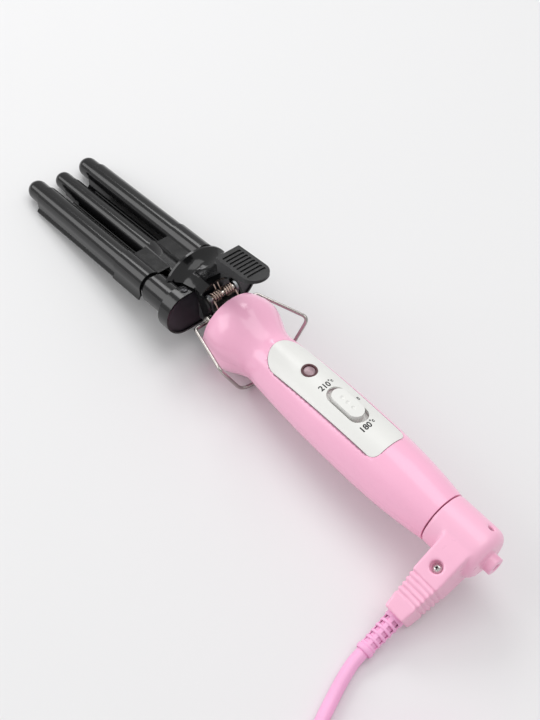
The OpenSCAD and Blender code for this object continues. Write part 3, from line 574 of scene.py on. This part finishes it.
def screw_tree(material):
    """A pan-head screw with a cross recess on each point, looking along the point's aim."""
    t = Tree("Cross-recess screw")
    radius, height = t.size("Head radius", 2.5), t.size("Head height", 1.4)
    cut, deep = t.size("Recess width", 0.75), t.size("Recess depth", 0.9)
    half = t.maths("MULTIPLY", height, 0.5)
    head = t.add("GeometryNodeMeshCylinder", Vertices=40, Side_Segments=1, Fill_Segments=4, Radius=radius,
                 Depth=height)
    up = t.add("GeometryNodeTransform", Geometry=head.outputs[0], Translation=t.vector(Z=half))
    # crown the top: points nearer the axis stand higher
    pos = t.add("GeometryNodeInputPosition").outputs[0]
    xyz = t.add("ShaderNodeSeparateXYZ", Vector=pos)
    flat = t.vector(X=xyz.outputs[0], Y=xyz.outputs[1])
    far = t.add("ShaderNodeVectorMath", {"operation": "LENGTH"}, _0=flat).outputs["Value"]
    share = t.maths("DIVIDE", far, radius)
    drop = t.maths("MULTIPLY", t.maths("POWER", share, 2.4), t.maths("MULTIPLY", height, 0.45))
    top = t.add("FunctionNodeCompare", {"data_type": "FLOAT", "operation": "GREATER_THAN"},
                _0=xyz.outputs[2], _1=half).outputs[0]
    crown = t.add("GeometryNodeSetPosition", Geometry=up.outputs[0], Selection=top,
                  Offset=t.vector(Z=t.maths("MULTIPLY", drop, -1)))
    # the cross is two bars, sunk from the top
    arm = t.maths("MULTIPLY", radius, 1.25)
    tall = t.maths("MULTIPLY", deep, 2)
    cross = t.add("GeometryNodeMeshBoolean", {"operation": "UNION"})
    for sx, sy in ((arm, cut), (cut, arm)):
        bar = t.add("GeometryNodeMeshCube", Size=t.vector(X=sx, Y=sy, Z=tall))
        put = t.add("GeometryNodeTransform", Geometry=bar.outputs[0], Translation=t.vector(Z=height))
        t.group.links.new(put.outputs[0], cross.inputs["Mesh 2"])
    cutter = t.add("GeometryNodeMeshBoolean", {"operation": "DIFFERENCE"}, Mesh_1=crown.outputs[0])
    t.group.links.new(cross.outputs[0], cutter.inputs["Mesh 2"])
    aim = t.add("GeometryNodeInputNamedAttribute", {"data_type": "FLOAT_VECTOR"}, Name="aim").outputs[0]
    put = t.add("GeometryNodeInstanceOnPoints", Points=t.source.outputs["Geometry"],
                Instance=cutter.outputs[0], Rotation=aim)
    t.finish(put.outputs[0], material)
    return t


def points_mesh(name, places, aims=()):
    """A mesh of loose points, each with its aim as Euler angles where aims are given."""
    mesh = bpy.data.meshes.new(name)
    mesh.from_pydata([tuple(p) for p in places], [], [])
    if aims:
        aim = mesh.attributes.new("aim", "FLOAT_VECTOR", "POINT")
        for i, a in enumerate(aims):
            aim.data[i].vector = a
    return mesh


# ---- operators -----------------------------------------------------------------------------------
class StageOperator(bpy.types.Operator):
    """Sets a pale floor, soft lights and the camera"""
    bl_idname = "waver.stage"
    bl_label = "Stage"

    def execute(self, context):
        scene = context.scene
        bm = bmesh.new()
        bmesh.ops.create_grid(bm, x_segments=2, y_segments=2, size=6)
        floor = linked("floor", closed("floor", bm))
        floor.location = (0, 0, -0.0002)
        floor.data.materials.append(finish("Matt floor", scene.waver_colours.floor, (0.8, 0.9), patch=3,
                                           tone=0.004, grain=200, bump=0.0))
        world = bpy.data.worlds.new("Soft room")
        world.use_nodes = True
        sky = world.node_tree.nodes["Background"]
        sky.inputs["Color"].default_value = (1, 1, 1, 1)
        sky.inputs["Strength"].default_value = 0.58
        scene.world = world
        scene.view_settings.view_transform = "Standard"
        # name, place and size in metres, and power in watts
        for name, place, size, power in (("back softbox", (-1.0, 0.45, 1.1), (0.7, 0.5), 4.5),
                                         ("top softbox", (0.15, 0.35, 1.75), (1.5, 1.3), 10.5),
                                         ("left softbox", (-0.95, -0.9, 0.8), (1.2, 0.8), 7.0)):
            data = bpy.data.lights.new(name, "AREA")
            data.shape = "RECTANGLE"
            data.size, data.size_y = size
            data.energy = power
            lamp = linked(name, data)
            lamp.location = place
            lamp.rotation_euler = (AIM_OF_LIGHTS - Vector(place)).to_track_quat("-Z", "Y").to_euler()

        camera = bpy.data.cameras.new("camera")
        camera.sensor_width = 36
        camera.lens = LENS
        camera.clip_start = 0.01
        eye = linked("camera", camera)
        jaws = IRON.to_3x3() @ Matrix.Rotation(-DROOP, 3, "Y")
        jaws = Matrix([[c / MM for c in row] for row in jaws])
        aim = Matrix((jaws @ EYE_RIGHT, jaws @ EYE_UP, -(jaws @ EYE_FORWARD))).transposed()
        eye.matrix_world = Matrix.Translation(JAWS @ EYE) @ aim.to_4x4()
        scene.camera = eye
        return {"FINISHED"}


def relief_axis():
    """Start and end of the strain relief in mm on the table: it falls so that its end rests there."""
    s, c = math.sin(ARM_DROP), math.cos(ARM_DROP)
    at = Vector((ARM_X, -RELIEF_OUT * c - RELIEF_UP * s, RELIEF_UP * c - RELIEF_OUT * s))
    at = Matrix.Rotation(TILT, 3, "Y") @ at + PLACE
    fall = math.asin((at.z - RELIEF_END_R - RELIEF_LIFT) / RELIEF_L)
    d = RELIEF_DIR.normalized() * math.cos(fall)
    d.z = -math.sin(fall)
    return at, at + RELIEF_L * d


def on_coil(rad, angle, h):
    """A point on the cord's coil at a radius, an angle in degrees and a height."""
    a = math.radians(angle)
    return COIL + Vector((rad * math.cos(a), rad * math.sin(a), h))


def cord_path(r):
    """The middle line in mm of a cord of radius r: along the table, about eight times round, to the plug."""
    at, end = relief_axis()
    d = (end - at).normalized()
    z = r + TABLE_GAP
    lead = [at + 3 * d, at + 9 * d, at + 16 * d, end, end + Vector((0.4, -4.5, -0.5)), (150.8, -61, z),
            (153, -68, z), (156, -76, z), (159.2, -84, z), (164, -93.9, z), (172, -103.7, z),
            (181.4, -113.2, z)]
    p = 2 * r + TURN_GAP
    low, outer = COIL_BASE + r, COIL_R - r
    inner = outer - 2 * p
    last = low + 2 * p
    # radius and height of each turn, and the stretch of angles over which it moves to the next one
    seats = [(outer + p, low), (outer, low), (outer - p, low), (inner, low), (inner, low + p),
             (outer - p, low + p), (outer, low + p), (outer, last), (outer - p, last), (inner, last)]
    moves = [(225, 285), (540, 600), (900, 960), (1200, 1260), (1500, 1560), (1860, 1920), (2160, 2220),
             (2460, 2520), (2820, 2880)]

    def seat(angle):
        rad, h = seats[0]
        for (a, b), (r0, h0), (r1, h1) in zip(moves, seats, seats[1:]):
            if angle >= b:
                rad, h = r1, h1
            elif angle > a:
                t = ease((angle - a) / (b - a))
                return r0 + (r1 - r0) * t, h0 + (h1 - h0) * t
        return rad, h
    wind = []
    for angle in range(225, 2881, 12):
        rad, h = seat(angle)
        wind.append(on_coil(rad, angle, z + (h - z) * min(1, (angle - 225) / 60)))
    # over the top of the coil and down beside it
    over = []
    for angle in range(2892, 3181, 12):
        h = last + p * ease((angle - 2880) / 60)
        h += (z - h) * ease((angle - 3120) / 80)
        over.append(on_coil(inner + (OVER_R - inner) * ease((angle - 2965) / 235), angle, h))
    tail = [COIL + Vector(q) for q in ((36, -33.2, z), (44, -30.7, z), (52.4, -29.5, z))]
    return smooth_path(lead, 2.5)[:-1] + smooth_path([lead[-1]] + wind + over + tail, 2.5)


class CordOperator(bpy.types.Operator):
    """Lays the mains cord from the housing to its coil and plug, as one length"""
    bl_idname = "waver.cord"
    bl_label = "Cord"

    def execute(self, context):
        sizes = context.scene.waver_sizes
        r = sizes.cord / 2 / MM
        points = [p * MM for p in cord_path(r)]
        cord = curve("mains_cord", points, sizes.cord / 2)
        cord.data.materials.append(finishes()["cord"])
        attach(cord, "cord_end")
        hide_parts("cord_tube", "cord_coil")
        return {"FINISHED"}


class ReliefOperator(bpy.types.Operator):
    """Moulds the tapered strain relief with its rows of windows"""
    bl_idname = "waver.relief"
    bl_label = "Strain relief"

    def execute(self, context):
        rows = context.scene.waver_sizes.relief_rows
        at, end = relief_axis()
        d = (end - at).normalized()
        length = (end - at).length
        side = d.cross(Vector((0, 0, 1))).normalized()
        up = side.cross(d)
        around = 48
        wall = 0.7
        inset = wall * 0.02
        # stations along the relief: (distance, radius, is the span after it a row of windows)
        stations = [(2.2, 4.35, False), (4.6, 4.3, False), (4.9, 4.1, False), (5.0, 3.95, False)]
        first, last = 5.0, length - 2.6
        pitch = (last - first) / rows
        for i in range(rows):
            a = first + i * pitch
            high = 4.32 - 0.62 * (i + 1) / rows
            stations += [(a + 0.1, high - 0.3, True), (a + pitch * 0.58, high - 0.3, False),
                         (a + pitch * 0.62, high - 0.1, False), (a + pitch * 0.68, high, False),
                         (a + pitch * 0.9, high, False), (a + pitch * 0.97, high - 0.14, False)]
        stations += [(last + 0.1, 3.5, False), (last + 0.5, 4.05, False), (length - 0.9, 4.0, False),
                     (length - 0.3, 3.75, False), (length, 3.4, False)]
        bm = bmesh.new()
        rings = [[bm.verts.new(at + d * t + (math.cos(a) * side + math.sin(a) * up) * (r - inset))
                  for a in turn(around)] for t, r, _ in stations]
        for (_, _, hole), a, b in zip(stations, rings, rings[1:]):
            for k in range(around):
                # four windows round the sleeve, each eight of its twelve strips wide
                if hole and 2 <= k % 12 <= 9:
                    continue
                n = (k + 1) % around
                bm.faces.new((a[k], a[n], b[n], b[k]))
        obj = linked("relief_tmp", from_bmesh("relief", bm, Matrix.Identity(4), 60))
        thick = obj.modifiers.new("Wall", "SOLIDIFY")
        thick.thickness = wall
        thick.offset = -1
        round_edges(obj, 0.1, 40)
        made = baked(obj)
        made.transform(MILLI)
        piece("strain_relief_sleeve", made, finishes()["cord"], "cord_end", "cord_lilac", "strain_relief")
        return {"FINISHED"}


class StandOperator(bpy.types.Operator):
    """Bends the stand's wire with round corners"""
    bl_idname = "waver.stand"
    bl_label = "Wire stand"

    def execute(self, context):
        wire = context.scene.waver_sizes.wire
        pivot = IRON.inverted() @ (JAWS @ PIVOT)
        foot_z = (-PLACE.z + FOOT_X * math.sin(TILT)) / math.cos(TILT) + wire / 2 / MM
        right = [Vector((pivot.x, LEG_Y, pivot.z)), Vector((pivot.x, ELBOW_Y, pivot.z)), STAND_ARM,
                 Vector((FOOT_X, FOOT_HALF, foot_z))]
        left = [Vector((p.x, -p.y, p.z)) for p in right]
        corners = right + left[::-1]
        bends = [0, 2.2, 3.0, 13.0, 13.0, 3.0, 2.2, 0]
        pts = [corners[0]]
        for i in range(1, len(corners) - 1):
            a, b, c = corners[i - 1:i + 2]
            u, w = (a - b).normalized(), (c - b).normalized()
            cut = bends[i] / math.tan(u.angle(w) / 2)
            p0, p1 = b + u * cut, b + w * cut
            for k in range(9):
                t = k / 8
                pts.append((1 - t) ** 2 * p0 + 2 * t * (1 - t) * b + t * t * p1)
        pts.append(corners[-1])
        mesh = baked(curve("stand_curve", [IRON @ p for p in pts], wire / 2))
        shade_smooth(mesh)
        piece("wire_stand_bent", mesh, finishes()["chrome"], "stand", "stand_chrome", "wire_stand")
        return {"FINISHED"}


class SpringsOperator(bpy.types.Operator):
    """Winds the two lever springs and bends their arms"""
    bl_idname = "waver.springs"
    bl_label = "Lever springs"

    def execute(self, context):
        sizes = context.scene.waver_sizes
        wire = sizes.spring_wire / MM
        copper = finishes()["copper"]
        coil = grown("coils", spring_tree(copper), points_mesh("coil_places", [(0, 0, 0)]),
                     Turns=sizes.spring_turns, Radius=SPRING_R, Wire=wire, Pitch=SPRING_PITCH)
        half = SPRING_PITCH * sizes.spring_turns / 2
        # each arm's start, bend and end, from the coil's middle
        arms = (((-2.35, -half, 0), (-4.6, -half, 3.0), (-6.4, 0.6 - half, 5.3)),
                ((2.35, half, 0), (4.2, half, -1.8), (6.0, half, -4.1)))
        both = bmesh.new()
        for side in (1, -1):
            part = coil.copy()
            part.transform(Matrix.Translation((0, 0, -half)))
            part.transform(Matrix.Rotation(math.pi / 2, 4, "X"))
            part.transform(Matrix.Translation(SPRING_AT))
            bm = opened(part)
            for arm in arms:
                line = smooth_path([SPRING_AT + Vector(p) for p in arm], 0.5)
                rings = []
                for i, p in enumerate(line):
                    t = (line[min(i + 1, len(line) - 1)] - line[max(i - 1, 0)]).normalized()
                    u = t.cross(Vector((0, 1, 0))).normalized()
                    w = t.cross(u)
                    rings.append([bm.verts.new(p + wire / 2 * (math.cos(a) * u + math.sin(a) * w))
                                  for a in turn(10)])
                for a, b in zip(rings, rings[1:]):
                    for k in range(10):
                        bm.faces.new((a[k], a[(k + 1) % 10], b[(k + 1) % 10], b[k]))
                bm.faces.new(rings[-1])
                bm.faces.new(rings[0][::-1])
            spring = closed("arms", bm)
            if side < 0:
                spring.transform(Matrix.Scale(-1, 4, (0, 1, 0)))
            both.from_mesh(spring)
        mesh = from_bmesh("springs", both, JAWS, 60)
        piece("lever_springs_wound", mesh, copper, "handle", "spring_copper", "lever_springs")
        return {"FINISHED"}


class ScrewsOperator(bpy.types.Operator):
    """Puts cross-recess heads on the visible screws"""
    bl_idname = "waver.screws"
    bl_label = "Screws"

    def execute(self, context):
        tree = screw_tree(finishes()["steel"])
        # name, frame, places, aims, radius and height of the head, finish, body and node
        jobs = (
            ("housing_screw_head", ARM, [(17.7, 0, 7.3)], [(0, 0, 0.5)],
             2.2, 1.5, "steel", "cord_end", "housing_screw"),
            ("head_screw_heads", JAWS, [(-0.6, 14.0, 11.52), (-0.6, -14.0, 11.52)],
             [(0, 0, 0.3), (0, 0, 1.0)], 1.9, 1.0, "dark steel", "handle", "head_screws"),
            ("bracket_screw_head", JAWS, [(15.5, 0, 4.27)], [(0, 0, 0.8)],
             2.9, 1.85, "steel", "handle", "bracket_screw"),
            ("handle_screw_heads", IRON, [(56.5, 0, -8.1), (138, 0, -8.1)],
             [(math.pi, 0, 0.4), (math.pi, 0, 0.9)], 2.55, 1.7, "steel", "handle", "handle_screws"),
        )
        for name, where, places, aims, radius, height, metal, body, node in jobs:
            bm = opened(grown(name, tree, points_mesh(name, places, aims), Head_radius=radius,
                              Head_height=height, Recess_width=radius * 0.3, Recess_depth=height * 0.6))
            # the shank behind each head
            for p, a in zip(places, aims):
                down = -1 if a[0] == 0 else 1
                shank = bmesh.ops.create_cone(bm, cap_ends=True, segments=20, radius1=radius * 0.42,
                                              radius2=radius * 0.42, depth=2.4)
                bmesh.ops.translate(bm, verts=shank["verts"], vec=(p[0], p[1], p[2] + down * 1.2))
            made = from_bmesh(name, bm, where, 30)
            piece(name, made, finishes()[metal], body, "screw_steel", node)
        return {"FINISHED"}


class MarksOperator(bpy.types.Operator):
    """Prints the switch's numbers on the panel"""
    bl_idname = "waver.marks"
    bl_label = "Dial marks"

    def execute(self, context):
        # the panel stands proud of the handle, and the ink's middle just over it
        proud, over = 0.15, 0.035
        bm = bmesh.new()
        # text, its middle along and across the handle, and its size
        for text, u, v, size in (("210", 84.4, -1.0, 4.1), ("°c", 83.4, 3.5, 2.7), ("0", 98.3, 6.9, 2.6),
                                 ("180", 112.5, -2.4, 4.1), ("°c", 111.7, 2.1, 2.7)):
            data = bpy.data.curves.new("mark", "FONT")
            data.body = text
            data.size = size
            data.align_x = "CENTER"
            data.align_y = "CENTER"
            data.offset = 0.09
            data.resolution_u = 4
            part = opened(baked(linked("mark", data)))
            bmesh.ops.subdivide_edges(part, edges=[e for e in part.edges if e.calc_length() > 0.8], cuts=2)
            bmesh.ops.triangulate(part, faces=part.faces)
            for p in part.verts:
                # reads across the handle towards +Y, its head towards the barrels
                x, y = u - p.co.y, v + p.co.x
                p.co = Vector((x, y, math.sqrt(handle_r(x) ** 2 - y * y) + proud + over))
            bm.from_mesh(closed("mark", part))
        mesh = closed("dial_marks", bm)
        mesh.transform(IRON)
        tmp = linked("marks_tmp", mesh)
        thick = tmp.modifiers.new("Ink", "SOLIDIFY")
        thick.thickness = 0.00003
        thick.offset = 0
        piece("dial_marks", baked(tmp), finishes()["ink"], "handle", "panel_white")
        return {"FINISHED"}


class ShutterOperator(bpy.types.Operator):
    """Lays the white dust shutter under the switch knob, with its slot for the knob's stem"""
    bl_idname = "waver.shutter"
    bl_label = "Switch shutter"

    def execute(self, context):
        # a little over the top of the switch's body
        low = handle_r(SWITCH_X) - WALL - 1.1 + 0.06
        thick = 0.32
        bm = bmesh.new()

        def plan(short, long, narrow, wide):
            """The eight corners of a rectangle with cut corners, from its half lengths and half widths."""
            return [(SWITCH_X + sx * (short if on_side else long), sy * (wide if on_side else narrow))
                    for sx, sy, on_side in ((1, -1, 1), (1, -1, 0), (1, 1, 0), (1, 1, 1),
                                            (-1, 1, 1), (-1, 1, 0), (-1, -1, 0), (-1, -1, 1))]
        plans = (plan(14, 15, 6.6, 7.4), plan(6.2, 6.6, 1.6, 2.0))
        lo_out, lo_in, hi_out, hi_in = [[bm.verts.new((x, y, low + h)) for x, y in ring]
                                        for h in (0, thick) for ring in plans]
        for k in range(8):
            n = (k + 1) % 8
            bm.faces.new((lo_out[k], lo_out[n], lo_in[n], lo_in[k]))
            bm.faces.new((hi_out[k], hi_in[k], hi_in[n], hi_out[n]))
            bm.faces.new((lo_out[k], hi_out[k], hi_out[n], lo_out[n]))
            bm.faces.new((lo_in[k], lo_in[n], hi_in[n], hi_in[k]))
        mesh = from_bmesh("shutter", bm, IRON, 30)
        piece("switch_shutter", mesh, finishes()["knob"], "handle", "knob_white")
        return {"FINISHED"}


class LensOperator(bpy.types.Operator):
    """Turns the lamp window's domed lens"""
    bl_idname = "waver.lens"
    bl_label = "Lamp lens"

    def execute(self, context):
        top = handle_r(LAMP_X) + 0.1
        # radius and height of the outline, from the top's middle over the dome to the underside's middle
        line = [(0, 0.02), (0.5, 0.015), (1.0, -0.02), (1.6, -0.08), (2.2, -0.18), (2.6, -0.3),
                (2.85, -0.46), (2.93, -0.7), (2.93, -2.9), (0, -2.9)]
        around = 48
        bm = bmesh.new()
        rings = [[bm.verts.new((LAMP_X + r * math.cos(a), r * math.sin(a), top + z))
                  for a in turn(around if r else 1)] for r, z in line]
        for a, b in zip(rings, rings[1:]):
            for k in range(around):
                n = (k + 1) % around
                if len(a) == 1:
                    bm.faces.new((a[0], b[k], b[n]))
                elif len(b) == 1:
                    bm.faces.new((a[k], b[0], a[n]))
                else:
                    bm.faces.new((a[k], b[k], b[n], a[n]))
        mesh = from_bmesh("lens", bm, IRON, 50)
        piece("lamp_lens_dome", mesh, finishes()["lens"], "handle", "lens_rose", "lamp_lens")
        return {"FINISHED"}


class FinishesOperator(bpy.types.Operator):
    """Gives every CAD piece its finish"""
    bl_idname = "waver.finishes"
    bl_label = "Finishes"

    def execute(self, context):
        table = finishes()
        for node, obj in frame["nodes"].items():
            if not obj.material_slots:
                raise RuntimeError("no material slot on " + node)
            for s in obj.material_slots:
                s.material = table[SLOT_FINISH[NODE_SLOT[node]]]
        return {"FINISHED"}


class MouldedOperator(bpy.types.Operator):
    """Rounds the sharp edges of the moulded pieces and shades the pressed ones evenly"""
    bl_idname = "waver.moulded"
    bl_label = "Moulded edges"

    def execute(self, context):
        for node, width in (("switch_knob", 0.45), ("control_panel", 0.2), ("pivot_rivets", 0.3),
                            ("thumb_press", 0.5)):
            softened(node, width)
        halves()
        stands_for("plug_body", even_and_round(merged("plug_body"), voxel=0.5, rounds=12), "_moulded")
        for node, angle in (("yoke", 44), ("left_shell", 30), ("right_shell", 30), ("middle_cover", 30),
                            ("head_band", 30), ("handle_top", 30), ("handle_bottom", 30)):
            shaded(node, angle)
        return {"FINISHED"}


class WaverPanel(bpy.types.Panel):
    """Lists the waver's pieces and settings"""
    bl_idname = "VIEW3D_PT_waver"
    bl_label = "Hair waver"
    bl_space_type = "VIEW_3D"
    bl_region_type = "UI"
    bl_category = "Waver"

    def draw(self, context):
        for group in (context.scene.waver_sizes, context.scene.waver_colours):
            for name in group.__annotations__:
                self.layout.prop(group, name)
        for op in OPERATORS:
            self.layout.operator(op.bl_idname)


# in the order in which they run: the cord needs the relief and the plug to be there
OPERATORS = (StageOperator, FinishesOperator, ReliefOperator, MouldedOperator, CordOperator, StandOperator,
             SpringsOperator, ScrewsOperator, MarksOperator, ShutterOperator, LensOperator)
CLASSES = (WaverSizes, WaverColours) + OPERATORS + (WaverPanel,)


def register():
    for cls in CLASSES:
        bpy.utils.register_class(cls)
    bpy.types.Scene.waver_sizes = PointerProperty(type=WaverSizes)
    bpy.types.Scene.waver_colours = PointerProperty(type=WaverColours)


def unregister():
    del bpy.types.Scene.waver_colours
    del bpy.types.Scene.waver_sizes
    for cls in reversed(CLASSES):
        bpy.utils.unregister_class(cls)


def main():
    register()
    for name in ("stage", "finishes", "relief", "moulded", "cord", "stand", "springs", "screws", "marks",
                 "shutter", "lens"):
        getattr(bpy.ops.waver, name)()


if __name__ == "__main__":
    main()
